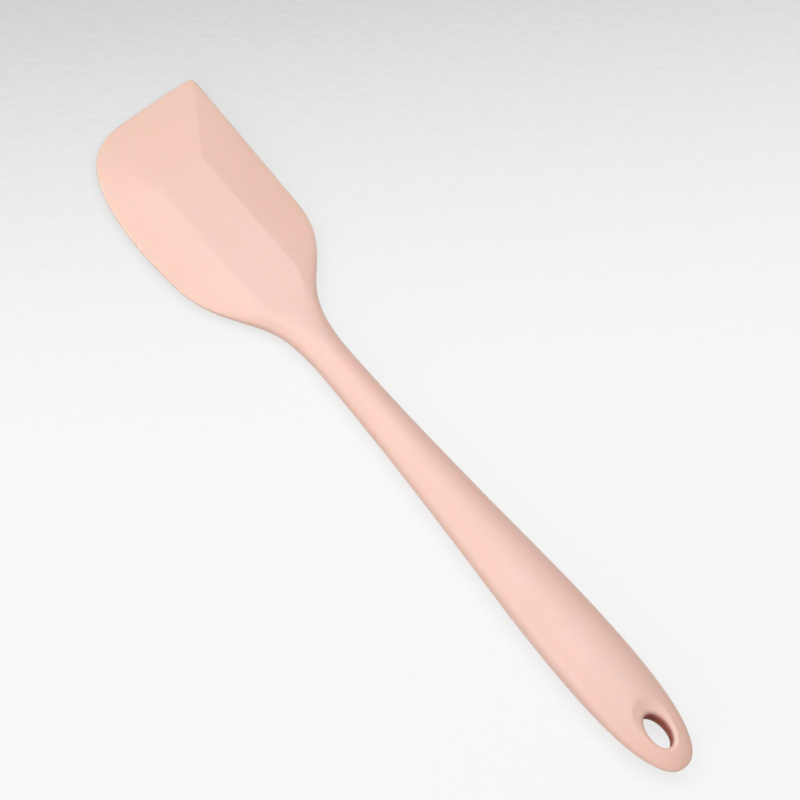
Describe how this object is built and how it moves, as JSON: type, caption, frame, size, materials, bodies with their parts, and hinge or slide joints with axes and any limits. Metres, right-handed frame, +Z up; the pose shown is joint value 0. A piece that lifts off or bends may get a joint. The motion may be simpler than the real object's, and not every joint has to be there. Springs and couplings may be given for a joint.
{
  "type": "silicone spatula",
  "caption": "One-piece silicone spatula: flat bevelled blade with one rounded and one square corner, slim neck, swelling handle with an oval hanging hole, steel core inside.",
  "frame": {"origin": "centre of the footprint, on the surface that the spatula lies on", "axes": "+X along the utensil towards the blade, +Y towards the blade's rounded corner, +Z up, out of the front face"},
  "size_m": [0.2799, 0.0555, 0.0142],
  "materials": {
    "silicone": "matte soft-touch silicone, pale peach pink, slightly translucent",
    "core_steel": "rolled stainless strip, punched edges, hidden inside the silicone"
  },
  "bodies": {
    "root": {"silicone_body": "silicone", "steel_core": "core_steel"}
  },
  "joints": []
}
